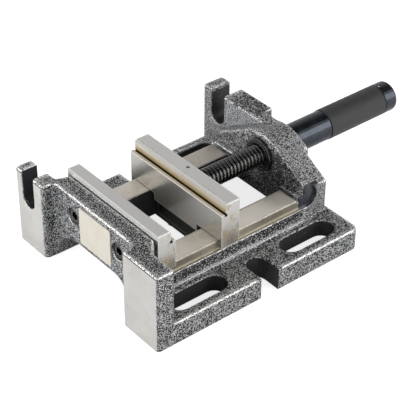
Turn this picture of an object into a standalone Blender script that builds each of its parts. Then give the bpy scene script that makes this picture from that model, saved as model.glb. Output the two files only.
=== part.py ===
"""Three-way drill press vise with a 100 mm jaw.

Lengths are in millimetres, measured from the front pads (x), the screw's centre plane (y) and the table (z).
They become metres when a mesh is made. The model's origin is below the middle of its whole length, on the
table. The front pads face -X, the handle is at +X and the solid front block is on the -Y side.
"""

import math

import bmesh
import bpy
from mathutils import Matrix, Vector

MM = 0.001
HALF_TURN = 180.0

# Base
BASE_WIDTH = 159.0
HALF_WIDTH = BASE_WIDTH / 2
FLANGE_HEIGHT = 17.3
FLANGE_EDGE_ROUND = 1.8
FLANGE_CORNER_RADIUS = 5.0
CAST_EDGE_ROUND = 2.2
CAST_CORNER_RADIUS = 2.4
CAST_DRAFT = 0.3

# Front block, front post and the wall between them
FRONT_TOP = 61.0
BLOCK_DEPTH = 14.5
BLOCK_INNER_Y = 42.4
BLOCK_BACK_Y = 58.0
POST_DEPTH = 13.4
POST_INNER_Y = 46.7
POST_INNER_RADIUS = 3.4
POST_BACK_Y = 50.0
WALL_FACE_X = 9.7
WALL_BACK_X = 23.5
WALL_END_Y = 46.5
WALL_FILLET = 5.0
POST_FILLET = 3.0
WALL_ARCH_TOP = 24.5
WALL_ARCH_LEFT_Y = POST_INNER_Y - CAST_DRAFT
WALL_ARCH_RIGHT_Y = -33.0
WALL_ARCH_LEFT_RADIUS = 24.0
WALL_ARCH_RIGHT_RADIUS = 12.0

# Upright slots in the two posts, set in from the left side
FRONT_SLOT_INSET = 14.7
FRONT_SLOT_WIDTH = 13.6
FRONT_SLOT_BOTTOM = 33.3
REAR_SLOT_INSET = 17.0
REAR_SLOT_WIDTH = 14.4
REAR_SLOT_BOTTOM = 36.6

# Rear wall and screw boss, along the screw
ARCH_FACE_X = 155.0
ARCH_THICKNESS = 19.5
BOSS_LENGTH = 23.5
CAVITY_DEPTH = 13.0
REAR_WALL_SETBACK = 12.0
REAR_PAD_DEPTH = 18.3
BOSS_FACE_X = ARCH_FACE_X + BOSS_LENGTH
CAVITY_BACK_X = ARCH_FACE_X + CAVITY_DEPTH
REAR_FACE_X = ARCH_FACE_X + REAR_WALL_SETBACK
REAR_PAD_X = REAR_FACE_X + REAR_PAD_DEPTH
REAR_WALL_BACK_X = BOSS_FACE_X - 2 * CAST_DRAFT
BASE_LENGTH = BOSS_FACE_X - CAST_DRAFT

# Ways
WAY_TOP = 34.3
WAY_INNER_Y = 28.6
WAY_OUTER_Y = 46.2
WAY_UNDERSIDE = 11.5
WAY_FOOT_LENGTH = 6.5
WAY_END_X = ARCH_FACE_X - WAY_FOOT_LENGTH
SIDE_FACE_Y = 48.5
SIDE_FOOT_Y = 50.0
SIDE_FOOT_TOP = 19.3
SIDE_MILLED_BOTTOM = 27.0
SIDE_CUTTER_RADIUS = 8.7
SIDE_CUTTER_RUN = 1.5
RUNOUT = 1.0
WAY_GROOVE_WIDTH = 2.2
WAY_GROOVE_DEPTH = 1.4
FOOT_STEP_HEIGHT = 1.6
FOOT_STEP_INNER_Y = 26.0
FOOT_STEP_LIP = 1.2
KEEPER_CHANNEL_Y = 44.0
KEEPER_CHANNEL_START_X = 27.5
CHANNEL_CORNER_RADIUS = 4.0

# Flange slots and notches
SLOT_INSET = 15.8
SLOT_WIDTH = 16.8
SLOT_LENGTH = 46.7
FRONT_SLOT_START_X = 22.0
REAR_SLOT_MARGIN = 12.0
NOTCH_X = 95.3
NOTCH_WIDTH = 15.4
NOTCH_DEPTH = 21.2
SLOT_BREAK = 0.6
UNDERSIDE_RELIEF = 4.0
RELIEF_INNER_Y = 50.5
RELIEF_RIM = 5.0
RELIEF_MARGIN = 4.0

# Rear wall, screw boss and rear post, across and upwards
ARCH_TOP = 64.0
ARCH_RADIUS = 35.0
ARCH_SLOPE = math.radians(29.3)
ARCH_LOWER_EDGE = 22.3
ARCH_LEFT_SHOULDER = 7.0
ARCH_RIGHT_SHOULDER = 2.5
ARCH_BACK_ROUND = 1.2
CAVITY_CORNER_RADIUS = 5.0
BOSS_HALF_WIDTH = 24.8
BOSS_SHOULDER = 4.0
BOSS_ROUND = 1.6
ROOT_DEPTH = 8.0
REAR_TOP = 63.5
REAR_PAD_END_Y = 21.4
REAR_WALL_END_Y = 3.0
REAR_PAD_FILLET = 2.0

# Jaws
JAW_WIDTH = 100.0
JAW_TOP = 64.3
JAW_STEP_DROP = 8.1
JAW_STEP_HEIGHT = JAW_TOP - JAW_STEP_DROP
JAW_STEP_DEPTH = 3.8
JAW_BEVEL = 1.4
JAW_GROOVE = 1.2
LEDGE_BREAK = 0.5
PLATE_HOLE_WALL = 1.5
FIXED_JAW_BACK_X = 23.8
FIXED_JAW_THICKNESS = 10.6
JAW_OPENING = 39.0
MOVING_JAW_THICKNESS = 15.4
SKIRT_BOTTOM = 29.0
TONGUE_HALF_WIDTH = 23.5
TONGUE_STEP_Z = 28.4
NECK_START_X = 84.0
NECK_END_X = 104.0
NECK_HALF_WIDTH = 27.9
NECK_TOP = 33.8

# Keeper plate and its screws
KEEPER_FRONT_X = 88.0
KEEPER_REAR_X = 101.0
KEEPER_HALF_WIDTH = 39.0
KEEPER_BOTTOM = 3.6
KEEPER_CORNER_RADIUS = 2.0
KEEPER_SCREW_Y = 22.5
KEEPER_SCREW_HEAD_RADIUS = 5.4
KEEPER_SCREW_HEAD_HEIGHT = 2.6
KEEPER_SCREW_RADIUS = 2.6
KEEPER_SCREW_TOP = 22.4
KEEPER_SOCKET_RADIUS = 2.0
KEEPER_SOCKET_DEPTH = 1.6

# Screw, nut sleeve and collar
SCREW_Z = 47.3
SCREW_RADIUS = 7.9
SCREW_START_X = 85.5
SCREW_LENGTH = 126.5
SCREW_EYE_RADIUS = 1.6
SCREW_PIN_RADIUS = 1.25
SCREW_PIN_X = 88.5
SCREW_PIN_REACH = 2.0
SCREW_PIN_SINK = 0.4
SLEEVE_RADIUS = 10.3
SLEEVE_SPIGOT_RADIUS = 9.3
SLEEVE_REACH = 21.5
SLEEVE_END_X = BOSS_FACE_X + SLEEVE_REACH
SLEEVE_SEAT_DEPTH = 0.6
COLLAR_RADIUS = 12.5
COLLAR_THICKNESS = 2.4
WASHER_THICKNESS = 1.4
WASHER_RADIUS = 12.3

# Handle
NECK_RADIUS = 11.35
GRIP_RADIUS = 11.7
NECK_LENGTH = 36.0
GRIP_LENGTH = 55.0
CAP_DEPTH = 6.5
CAP_FLOOR = 5.5
CAP_PIN_SETBACK = 4.0
GRIP_START_X = BOSS_FACE_X + NECK_LENGTH
GRIP_END_X = GRIP_START_X + GRIP_LENGTH
TUBE_END_X = GRIP_END_X + CAP_DEPTH
HANDLE_END_X = TUBE_END_X + CAP_FLOOR
CAP_PIN_X = TUBE_END_X - CAP_PIN_SETBACK
TUBE_BORE_RADIUS = 9.6
TUBE_SEAT_RADIUS = 10.5
CAP_END_ROUND = 2.0
CAP_PIN_RADIUS = 1.1
CAP_PIN_SINK = 0.3

# Cap screws and label on the front wall
CAP_SCREW_Y = 25.0
CAP_SCREW_Z = 44.5
CAP_SCREW_HEAD_RADIUS = 6.2
CAP_SCREW_HEAD_HEIGHT = 7.0
CAP_SCREW_SHANK_RADIUS = 3.9
CAP_SCREW_HEAD_DEPTH = 1.2
CAP_SCREW_SOCKET_RADIUS = 3.4
CAP_SCREW_SOCKET_DEPTH = 3.6
LABEL_CENTRE_Y = -0.6
LABEL_WIDTH = 34.6
LABEL_BOTTOM = 27.9
LABEL_TOP = 57.0
LABEL_THICKNESS = 0.8
LABEL_CORNER_RADIUS = 1.0
LABEL_GLUE = 0.05

# Clearances
SEAT_GAP = 0.3
RUNNING_GAP = 0.1
SMALL_CHAMFER = 0.6

# How far a cutter reaches past a face, how far joined lumps reach into each other, and steps in a round edge
OVERSHOOT = 5.0
OVERLAP = 6.0
ROUND_STEPS = 3

X_MIDDLE = HANDLE_END_X / 2


def clear_scene():
    for old in list(bpy.data.objects):
        bpy.data.objects.remove(old, do_unlink=True)


def material(name, color, metallic, roughness):
    made = bpy.data.materials.new(name)
    made.use_nodes = True
    shader = made.node_tree.nodes["Principled BSDF"]
    shader.inputs["Base Color"].default_value = (*color, 1.0)
    shader.inputs["Metallic"].default_value = metallic
    shader.inputs["Roughness"].default_value = roughness
    return made


def world(x, y, z):
    return Vector(((x - X_MIDDLE) * MM, y * MM, z * MM))


def arc(centre, radius, start, end, steps):
    """Points from the angle start to the angle end, in degrees."""
    angles = [math.radians(start + (end - start) * i / steps) for i in range(steps + 1)]
    return [(centre[0] + radius * math.cos(a), centre[1] + radius * math.sin(a)) for a in angles]


def rounded(corners, steps=4):
    """A closed outline from (x, y, radius) corners, with an arc at each corner that has a radius."""
    outline = []
    for i, (x, y, radius) in enumerate(corners):
        here = Vector((x, y))
        if not radius:
            outline.append((x, y))
            continue
        before = (Vector(corners[i - 1][:2]) - here).normalized()
        after = (Vector(corners[(i + 1) % len(corners)][:2]) - here).normalized()
        half = before.angle(after) / 2
        centre = here + (before + after).normalized() * radius / math.sin(half)
        first = here + before * radius / math.tan(half) - centre
        last = here + after * radius / math.tan(half) - centre
        sweep = first.angle_signed(last)
        for step in range(steps + 1):
            turned = Matrix.Rotation(-sweep * step / steps, 2) @ first
            outline.append(tuple(centre + turned))
    return outline


def grown(outline, distance):
    """An anticlockwise outline moved outwards by distance, or inwards where it is negative."""
    moved = []
    count = len(outline)
    for i in range(count):
        before = Vector(outline[i]) - Vector(outline[i - 1])
        after = Vector(outline[(i + 1) % count]) - Vector(outline[i])
        normals = [Vector((edge.y, -edge.x)).normalized() for edge in (before, after)]
        total = normals[0] + normals[1]
        moved.append(tuple(Vector(outline[i]) + total * distance / (1 + normals[0].dot(normals[1]))))
    return moved


def anticlockwise(outline):
    area = sum(a[0] * b[1] - b[0] * a[1] for a, b in zip(outline, outline[1:] + outline[:1]))
    return outline if area > 0 else outline[::-1]


def mesh_object(name, points, faces, look=None):
    mesh = bpy.data.meshes.new(name)
    mesh.from_pydata([world(*point) for point in points], [], faces)
    edit = bmesh.new()
    edit.from_mesh(mesh)
    bmesh.ops.remove_doubles(edit, verts=edit.verts, dist=1e-7)
    bmesh.ops.recalc_face_normals(edit, faces=edit.faces)
    if edit.calc_volume(signed=True) < 0:
        bmesh.ops.reverse_faces(edit, faces=edit.faces)
    edit.to_mesh(mesh)
    edit.free()
    made = bpy.data.objects.new(name, mesh)
    bpy.context.scene.collection.objects.link(made)
    if look:
        mesh.materials.append(look)
    return made


def loft(name, rings, look=None):
    """A closed solid through rings of the same number of points, capped at both ends."""
    count = len(rings[0])
    points = [point for ring in rings for point in ring]
    faces = [list(range(count)), list(range(len(points) - count, len(points)))]
    for start in range(0, len(points) - count, count):
        for i in range(count):
            j = (i + 1) % count
            faces.append([start + i, start + j, start + count + j, start + count + i])
    return mesh_object(name, points, faces, look)


def extrusion(name, axis, outline, start, end, start_round=0.0, end_round=0.0, flare=0.0, look=None):
    """Extrudes an outline along an axis. A round edge narrows its end, and a flare widens both ends."""
    outline = anticlockwise(outline)
    levels = []
    if start_round:
        for step in range(ROUND_STEPS):
            angle = math.pi / 2 * step / ROUND_STEPS
            levels.append((start + start_round * (1 - math.sin(angle)), -start_round * (1 - math.cos(angle))))
        levels.reverse()
        levels.insert(0, (start, -start_round))
    else:
        levels += [(start, flare), (start + flare, 0.0)] if flare else [(start, 0.0)]
    if end_round:
        for step in range(ROUND_STEPS):
            angle = math.pi / 2 * step / ROUND_STEPS
            levels.append((end - end_round * (1 - math.sin(angle)), -end_round * (1 - math.cos(angle))))
        levels.append((end, -end_round))
    else:
        levels += [(end - flare, 0.0), (end, flare)] if flare else [(end, 0.0)]
    place = {
        "X": lambda along, point: (along, point[0], point[1]),
        "Y": lambda along, point: (point[0], along, point[1]),
        "Z": lambda along, point: (point[0], point[1], along),
    }[axis]
    rings = [[place(along, point) for point in grown(outline, change)] for along, change in levels]
    return loft(name, rings, look)


def box(name, low, high, look=None):
    outline = [(low[0], low[1]), (high[0], low[1]), (high[0], high[1]), (low[0], high[1])]
    return extrusion(name, "Z", outline, low[2], high[2], look=look)


def stadium(start, end, across, width, steps=8):
    """A slot's outline, running from start to end along its first axis."""
    radius = width / 2
    right = arc((end - radius, across), radius, -HALF_TURN / 2, HALF_TURN / 2, steps)
    return right + arc((start + radius, across), radius, HALF_TURN / 2, HALF_TURN * 1.5, steps)


def turned(name, profile, steps=32, centre=(0.0, SCREW_Z), hollow=False, look=None, axis="X"):
    """Turns a profile of (along, radius) points about a line. A hollow profile is closed on itself."""
    rings = []
    for along, radius in profile:
        ring = []
        for i in range(steps):
            angle = 2 * math.pi * (i + 0.5) / steps
            first = centre[0] + radius * math.cos(angle)
            second = centre[1] + radius * math.sin(angle)
            ring.append({"X": (along, first, second), "Z": (first, second, along)}[axis])
        rings.append(ring)
    if not hollow:
        return smooth(loft(name, rings, look))
    points = [point for ring in rings for point in ring]
    faces = []
    for ring in range(len(rings)):
        here = ring * steps
        there = (ring + 1) % len(rings) * steps
        for i in range(steps):
            j = (i + 1) % steps
            faces.append([here + i, here + j, there + j, there + i])
    return smooth(mesh_object(name, points, faces, look))


def smooth(piece):
    piece.data.shade_smooth()
    piece.data.set_sharp_from_angle(angle=math.radians(35))
    return piece


def combine(piece, tool, operation):
    change = piece.modifiers.new(f"{operation.lower()}_{tool.name}", "BOOLEAN")
    change.operation = operation
    change.solver = "EXACT"
    change.object = tool
    tool.hide_render = True
    tool.display_type = "WIRE"


def cut(piece, *tools):
    for tool in tools:
        combine(piece, tool, "DIFFERENCE")


def join(piece, *tools):
    for tool in tools:
        combine(piece, tool, "UNION")


def move_origin(piece, x, y, z):
    """Puts the piece's origin on its joint without moving its shape."""
    place = world(x, y, z)
    piece.data.transform(Matrix.Translation(-place))
    piece.location = place


def flange():
    start = WALL_FACE_X + RUNOUT
    outline = rounded(
        [
            (start, -HALF_WIDTH, 0),
            (BASE_LENGTH, -HALF_WIDTH, FLANGE_CORNER_RADIUS),
            (BASE_LENGTH, HALF_WIDTH, 0),
            (start, HALF_WIDTH, 0),
        ]
    )
    return extrusion("base_casting", "Z", outline, 0, FLANGE_HEIGHT, end_round=FLANGE_EDGE_ROUND)


def way_block():
    """Both ways as one block, before the opening between them is cut."""
    side = SIDE_FACE_Y - CAST_DRAFT
    outline = [
        (-SIDE_FOOT_Y, ROOT_DEPTH),
        (SIDE_FOOT_Y, ROOT_DEPTH),
        (SIDE_FOOT_Y, SIDE_FOOT_TOP),
        (side, SIDE_MILLED_BOTTOM - 1),
        (side, WAY_TOP),
        (-side, WAY_TOP),
        (-side, SIDE_MILLED_BOTTOM - 1),
        (-SIDE_FOOT_Y, SIDE_FOOT_TOP),
    ]
    return extrusion("way_block", "X", outline, WALL_BACK_X - OVERLAP, ARCH_FACE_X + OVERLAP)


def front_structure():
    """The block, the wall and the post seen from above."""
    corner = CAST_CORNER_RADIUS
    outline = rounded(
        [
            (0, -HALF_WIDTH, corner),
            (BLOCK_DEPTH, -HALF_WIDTH, corner),
            (BLOCK_DEPTH, -BLOCK_BACK_Y, WALL_FILLET),
            (WALL_BACK_X, -WALL_END_Y, corner),
            (WALL_BACK_X, WALL_END_Y, corner),
            (POST_DEPTH, POST_BACK_Y, POST_FILLET),
            (POST_DEPTH, HALF_WIDTH, corner),
            (0, HALF_WIDTH, corner),
            (0, POST_INNER_Y, POST_INNER_RADIUS),
            (WALL_FACE_X, POST_INNER_Y, POST_FILLET),
            (WALL_FACE_X, -BLOCK_INNER_Y, WALL_FILLET),
            (0, -BLOCK_INNER_Y, corner),
        ]
    )
    solid = extrusion("front_structure", "Z", outline, 0, FRONT_TOP, end_round=CAST_EDGE_ROUND)
    middle = HALF_WIDTH - FRONT_SLOT_INSET
    faces = (0, POST_DEPTH)
    cut(solid, upright_slot("front_post_slot", middle, FRONT_SLOT_WIDTH, FRONT_SLOT_BOTTOM, faces))
    return solid


def rear_structure():
    """The rear post, the thick rear pad and the wall that runs into the arch."""
    corner = CAST_CORNER_RADIUS
    outline = rounded(
        [
            (REAR_FACE_X, REAR_WALL_END_Y, 0),
            (REAR_WALL_BACK_X, REAR_WALL_END_Y, 0),
            (REAR_WALL_BACK_X, REAR_PAD_END_Y, REAR_PAD_FILLET),
            (REAR_PAD_X, REAR_PAD_END_Y, corner),
            (REAR_PAD_X, HALF_WIDTH, corner),
            (REAR_FACE_X, HALF_WIDTH, corner),
        ]
    )
    solid = extrusion("rear_structure", "Z", outline, 0, REAR_TOP, end_round=CAST_EDGE_ROUND)
    middle = HALF_WIDTH - REAR_SLOT_INSET
    faces = (REAR_FACE_X, REAR_PAD_X)
    cut(solid, upright_slot("rear_post_slot", middle, REAR_SLOT_WIDTH, REAR_SLOT_BOTTOM, faces))
    return solid


def arch_outline(half_width, left_radius, right_radius):
    """The arch seen along the screw: a round top that runs tangent into two slopes."""
    tangent_y = ARCH_RADIUS * math.sin(ARCH_SLOPE)
    tangent_z = ARCH_TOP - ARCH_RADIUS * (1 - math.cos(ARCH_SLOPE))
    end_z = tangent_z - (half_width - tangent_y) * math.tan(ARCH_SLOPE)
    slope = math.degrees(ARCH_SLOPE)
    middle = (0, ARCH_TOP - ARCH_RADIUS)
    crown = arc(middle, ARCH_RADIUS, HALF_TURN / 2 - slope, HALF_TURN / 2 + slope, 10)
    shoulders = [(half_width, end_z, left_radius), (-half_width, end_z, right_radius)]
    feet = [(-half_width, ROOT_DEPTH, 0), (half_width, ROOT_DEPTH, 0)]
    corners = [feet[1], shoulders[0]] + [(y, z, 0) for y, z in crown] + [shoulders[1], feet[0]]
    return rounded(corners)


def arch():
    outline = arch_outline(SIDE_FACE_Y, ARCH_LEFT_SHOULDER, ARCH_RIGHT_SHOULDER)
    rounds = {"start_round": CAST_EDGE_ROUND, "end_round": ARCH_BACK_ROUND}
    return extrusion("arch", "X", outline, ARCH_FACE_X, ARCH_FACE_X + ARCH_THICKNESS, **rounds)


def boss():
    outline = arch_outline(BOSS_HALF_WIDTH + CAST_DRAFT, BOSS_SHOULDER, BOSS_SHOULDER)
    outline = grown(anticlockwise(outline), -CAST_DRAFT)
    return extrusion("boss", "X", outline, ARCH_FACE_X + OVERLAP, BOSS_FACE_X, end_round=BOSS_ROUND)


def foot_step(side):
    """The unmachined strip between the end of a way and the arch."""
    top = WAY_TOP + FOOT_STEP_HEIGHT
    start = WAY_END_X + WAY_GROOVE_WIDTH
    end = ARCH_FACE_X + OVERLAP
    outline = rounded(
        [(start, ARCH_LOWER_EDGE, 0), (end, ARCH_LOWER_EDGE, 0), (end, top, 0), (start, top, FOOT_STEP_LIP)]
    )
    ends = sorted((side * FOOT_STEP_INNER_Y, side * (SIDE_FACE_Y - 3 * CAST_DRAFT)))
    rounds = {"start_round": FOOT_STEP_LIP / 2, "end_round": FOOT_STEP_LIP / 2}
    return extrusion(f"foot_step_{side}", "Y", outline, *ends, **rounds)


def upright_slot(name, centre_y, width, bottom, faces):
    """A slot through a post along X, open at the post's top, with its edges broken at both faces."""
    radius = width / 2
    low = arc((centre_y, bottom + radius), radius, HALF_TURN, 2 * HALF_TURN, 10)
    outline = low + [(centre_y + radius, 2 * REAR_TOP), (centre_y - radius, 2 * REAR_TOP)]
    past = SLOT_BREAK / 3
    return extrusion(name, "X", outline, faces[0] - past, faces[1] + past, flare=SLOT_BREAK + past)


def slot_cutter(name, outline):
    """Cuts through the flange and breaks the slot's upper edge."""
    outline = anticlockwise(outline)
    past = FLANGE_EDGE_ROUND
    levels = [(-OVERSHOOT, 0.0), (FLANGE_HEIGHT - SLOT_BREAK, 0.0), (FLANGE_HEIGHT + past, SLOT_BREAK + past)]
    rings = [[(x, y, z) for x, y in grown(outline, change)] for z, change in levels]
    return loft(name, rings)


def flange_notch(side):
    radius = NOTCH_WIDTH / 2
    centre = (NOTCH_X, side * (HALF_WIDTH - NOTCH_DEPTH + radius))
    inner = arc(centre, radius, 0, -HALF_TURN * side, 8)
    outside = side * (HALF_WIDTH + OVERSHOOT)
    outline = inner + [(NOTCH_X - radius, outside), (NOTCH_X + radius, outside)]
    return slot_cutter(f"notch_{side}", outline)


def underside_relief(name, start, side):
    """The shallow hollow under the flange round one slot."""
    low, high = sorted((side * RELIEF_INNER_Y, side * (HALF_WIDTH - RELIEF_RIM)))
    first = start - RELIEF_MARGIN
    last = start + SLOT_LENGTH + RELIEF_MARGIN
    corners = [(first, low), (last, low), (last, high), (first, high)]
    outline = rounded([(x, y, RELIEF_MARGIN) for x, y in corners])
    return extrusion(name, "Z", outline, -OVERSHOOT, UNDERSIDE_RELIEF)


def side_cutter(side):
    """The milled side of a way, whose round end runs into the rear foot."""
    low, high = sorted((side * WAY_OUTER_Y, side * (SIDE_FACE_Y + OVERSHOOT)))
    radius = SIDE_CUTTER_RADIUS
    start = WALL_BACK_X + RUNOUT
    outline = stadium(start, ARCH_FACE_X + SIDE_CUTTER_RUN + radius, SIDE_MILLED_BOTTOM + radius, 2 * radius)
    return extrusion(f"side_cutter_{side}", "Y", outline, low, high)


def base_casting(look):
    base = flange()
    base.data.materials.append(look)
    join(base, way_block())
    low = (WALL_FACE_X, -WAY_INNER_Y, -OVERSHOOT)
    high = (ARCH_FACE_X + OVERSHOOT, WAY_INNER_Y, JAW_TOP)
    cut(base, box("way_opening", low, high))
    join(base, front_structure(), rear_structure(), arch(), boss())
    cavity_y = WAY_INNER_Y - CAST_DRAFT
    cavity = rounded(
        [
            (-cavity_y, -OVERSHOOT, 0),
            (cavity_y, -OVERSHOOT, 0),
            (cavity_y, ARCH_LOWER_EDGE, CAVITY_CORNER_RADIUS),
            (-cavity_y, ARCH_LOWER_EDGE, CAVITY_CORNER_RADIUS),
        ]
    )
    cut(base, extrusion("arch_cavity", "X", cavity, ARCH_FACE_X - OVERLAP, CAVITY_BACK_X - RUNOUT))
    ends = (KEEPER_CHANNEL_START_X, CAVITY_BACK_X)
    sides = (-KEEPER_CHANNEL_Y, KEEPER_CHANNEL_Y)
    corners = [(ends[0], sides[0]), (ends[1], sides[0]), (ends[1], sides[1]), (ends[0], sides[1])]
    channel = rounded([(x, y, CHANNEL_CORNER_RADIUS) for x, y in corners])
    cut(base, extrusion("keeper_channel", "Z", channel, -OVERSHOOT + RUNOUT, WAY_UNDERSIDE))
    for side in (-1, 1):
        groove_end = WAY_END_X + WAY_GROOVE_WIDTH + FOOT_STEP_LIP / 2
        low, high = sorted((side * (WAY_INNER_Y - OVERSHOOT), side * (SIDE_FACE_Y + OVERSHOOT)))
        floor = WAY_TOP - WAY_GROOVE_DEPTH
        cut(base, box(f"way_groove_{side}", (WAY_END_X, low, floor), (groove_end, high, WAY_TOP + OVERSHOOT)))
        join(base, foot_step(side))
        cut(base, side_cutter(side))
        cut(base, flange_notch(side))
        rear_start = BASE_LENGTH - REAR_SLOT_MARGIN - SLOT_LENGTH
        for where, start in (("front", FRONT_SLOT_START_X), ("rear", rear_start)):
            slot = stadium(start, start + SLOT_LENGTH, side * (HALF_WIDTH - SLOT_INSET), SLOT_WIDTH)
            cut(base, underside_relief(f"{where}_relief_{side}", start, side))
            cut(base, slot_cutter(f"{where}_slot_{side}", slot))
    wall_arch = rounded(
        [
            (WALL_ARCH_RIGHT_Y, -OVERSHOOT, 0),
            (WALL_ARCH_LEFT_Y, -OVERSHOOT, 0),
            (WALL_ARCH_LEFT_Y, WALL_ARCH_TOP, WALL_ARCH_LEFT_RADIUS),
            (WALL_ARCH_RIGHT_Y, WALL_ARCH_TOP, WALL_ARCH_RIGHT_RADIUS),
        ]
    )
    cut(base, extrusion("wall_arch", "X", wall_arch, -OVERSHOOT, WALL_BACK_X + OVERLAP))
    bore = SLEEVE_RADIUS + RUNNING_GAP
    recess = WASHER_RADIUS + SEAT_GAP
    recess_end = ARCH_FACE_X + WASHER_THICKNESS
    ends = (ARCH_FACE_X - OVERSHOOT, BOSS_FACE_X + OVERSHOOT)
    cut(base, turned("screw_bore", [(end, bore) for end in ends], steps=40))
    cut(base, turned("washer_recess", [(ends[0], recess), (recess_end, recess)], steps=40))
    for side, centre in (("left", CAP_SCREW_Y), ("right", -CAP_SCREW_Y)):
        shank = CAP_SCREW_SHANK_RADIUS + SEAT_GAP
        head = CAP_SCREW_HEAD_RADIUS + SEAT_GAP
        depth = WALL_FACE_X + CAP_SCREW_HEAD_DEPTH + CAP_SCREW_HEAD_HEIGHT + SEAT_GAP
        place = (centre, CAP_SCREW_Z)
        front = WALL_FACE_X - OVERSHOOT
        cut(base, turned(f"counterbore_{side}", [(front, head), (depth, head)], 24, place))
        back = WALL_BACK_X + OVERSHOOT
        cut(base, turned(f"screw_hole_{side}", [(front + RUNOUT, shank), (back, shank)], 20, place))
    return base


def jaw_outline(back, step, face, bottom):
    """A jaw's end view. The plate is thicker below the ledge, and a groove runs along the ledge's root."""
    toward = 1 if step > back else -1
    bevel = toward * JAW_BEVEL
    groove = toward * JAW_GROOVE
    return [
        (back, bottom),
        (back, JAW_TOP),
        (step - bevel, JAW_TOP),
        (step, JAW_TOP - JAW_BEVEL),
        (step, JAW_STEP_HEIGHT + JAW_GROOVE / 5),
        (step - groove / 2, JAW_STEP_HEIGHT - JAW_GROOVE / 5),
        (step, JAW_STEP_HEIGHT - JAW_GROOVE),
        (step + groove / 2, JAW_STEP_HEIGHT - JAW_GROOVE / 2),
        (step + groove, JAW_STEP_HEIGHT),
        (face - toward * LEDGE_BREAK, JAW_STEP_HEIGHT),
        (face, JAW_STEP_HEIGHT - LEDGE_BREAK),
        (face, bottom),
    ]


def fixed_jaw_plate(look):
    back = FIXED_JAW_BACK_X
    step = back + FIXED_JAW_THICKNESS
    face = step + JAW_STEP_DEPTH
    half = JAW_WIDTH / 2
    outline = jaw_outline(back, step, face, WAY_TOP + SEAT_GAP)
    plate = extrusion("fixed_jaw_plate", "Y", outline, -half, half, look=look)
    for side in (-1, 1):
        place = (side * CAP_SCREW_Y, CAP_SCREW_Z)
        hole = CAP_SCREW_SHANK_RADIUS + SEAT_GAP
        ends = (back - OVERSHOOT, step - PLATE_HOLE_WALL)
        cut(plate, turned(f"plate_hole_{side}", [(end, hole) for end in ends], 20, place))
    return plate


def jaw_cap_screw(name, centre_y, look):
    start = WALL_FACE_X + CAP_SCREW_HEAD_DEPTH
    shoulder = start + CAP_SCREW_HEAD_HEIGHT
    end = FIXED_JAW_BACK_X + FIXED_JAW_THICKNESS - 2 * PLATE_HOLE_WALL
    place = (centre_y, CAP_SCREW_Z)
    profile = [
        (start, CAP_SCREW_HEAD_RADIUS - SMALL_CHAMFER),
        (start + SMALL_CHAMFER, CAP_SCREW_HEAD_RADIUS),
        (shoulder, CAP_SCREW_HEAD_RADIUS),
        (shoulder, CAP_SCREW_SHANK_RADIUS),
        (end - SMALL_CHAMFER, CAP_SCREW_SHANK_RADIUS),
        (end, CAP_SCREW_SHANK_RADIUS - SMALL_CHAMFER),
    ]
    screw = turned(name, profile, 24, place, look=look)
    ends = (start - OVERSHOOT, start + CAP_SCREW_SOCKET_DEPTH)
    cut(screw, turned(f"{name}_socket", [(end, CAP_SCREW_SOCKET_RADIUS) for end in ends], 6, place))
    return screw


def label_plate(look):
    low = LABEL_CENTRE_Y - LABEL_WIDTH / 2
    high = LABEL_CENTRE_Y + LABEL_WIDTH / 2
    corners = [(low, LABEL_BOTTOM), (high, LABEL_BOTTOM), (high, LABEL_TOP), (low, LABEL_TOP)]
    outline = rounded([(y, z, LABEL_CORNER_RADIUS) for y, z in corners])
    back = WALL_FACE_X - LABEL_GLUE
    return extrusion("label_plate", "X", outline, back - LABEL_THICKNESS, back, look=look)


def moving_jaw_front_x():
    return FIXED_JAW_BACK_X + FIXED_JAW_THICKNESS + JAW_STEP_DEPTH + JAW_OPENING


def moving_jaw(look):
    face = moving_jaw_front_x()
    step = face + JAW_STEP_DEPTH
    back = face + MOVING_JAW_THICKNESS
    half = JAW_WIDTH / 2
    jaw = extrusion("moving_jaw", "Y", jaw_outline(back, step, face, SKIRT_BOTTOM), -half, half, look=look)
    for side in (-1, 1):
        low, high = sorted((side * TONGUE_HALF_WIDTH, side * (WAY_OUTER_Y + SEAT_GAP)))
        near = (face - OVERSHOOT, low, SKIRT_BOTTOM - OVERSHOOT)
        far = (back + OVERSHOOT, high, WAY_TOP + SEAT_GAP)
        cut(jaw, box(f"way_clearance_{side}", near, far))
    inset = LEDGE_BREAK
    tongue = [
        (face + inset, TONGUE_STEP_Z),
        (back - inset, TONGUE_STEP_Z),
        (back - inset, WAY_TOP + OVERSHOOT),
        (face + inset, WAY_TOP + OVERSHOOT),
    ]
    neck = [
        (NECK_START_X, WAY_UNDERSIDE),
        (NECK_END_X, WAY_UNDERSIDE),
        (NECK_END_X, NECK_TOP),
        (NECK_START_X, NECK_TOP),
    ]
    join(jaw, extrusion("tongue", "Y", tongue, -TONGUE_HALF_WIDTH, TONGUE_HALF_WIDTH))
    join(jaw, extrusion("neck", "Y", neck, -NECK_HALF_WIDTH, NECK_HALF_WIDTH))
    socket = SCREW_RADIUS + RUNNING_GAP
    cut(jaw, turned("screw_socket", [(SCREW_START_X - SEAT_GAP, socket), (back + OVERSHOOT, socket)], 32))
    pin = SCREW_PIN_RADIUS + SEAT_GAP
    pin_hole = [(screw_pin_bottom() - SEAT_GAP, pin), (JAW_TOP + OVERSHOOT, pin)]
    cut(jaw, turned("pin_hole", pin_hole, 16, (SCREW_PIN_X, 0), axis="Z"))
    for side in (-1, 1):
        radius = KEEPER_SCREW_RADIUS + SEAT_GAP
        hole = [(WAY_UNDERSIDE - OVERSHOOT, radius), (KEEPER_SCREW_TOP + 2 * SEAT_GAP, radius)]
        cut(jaw, turned(f"neck_hole_{side}", hole, 16, (keeper_middle_x(), side * KEEPER_SCREW_Y), axis="Z"))
    return jaw


def keeper_middle_x():
    return (KEEPER_FRONT_X + KEEPER_REAR_X) / 2


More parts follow.
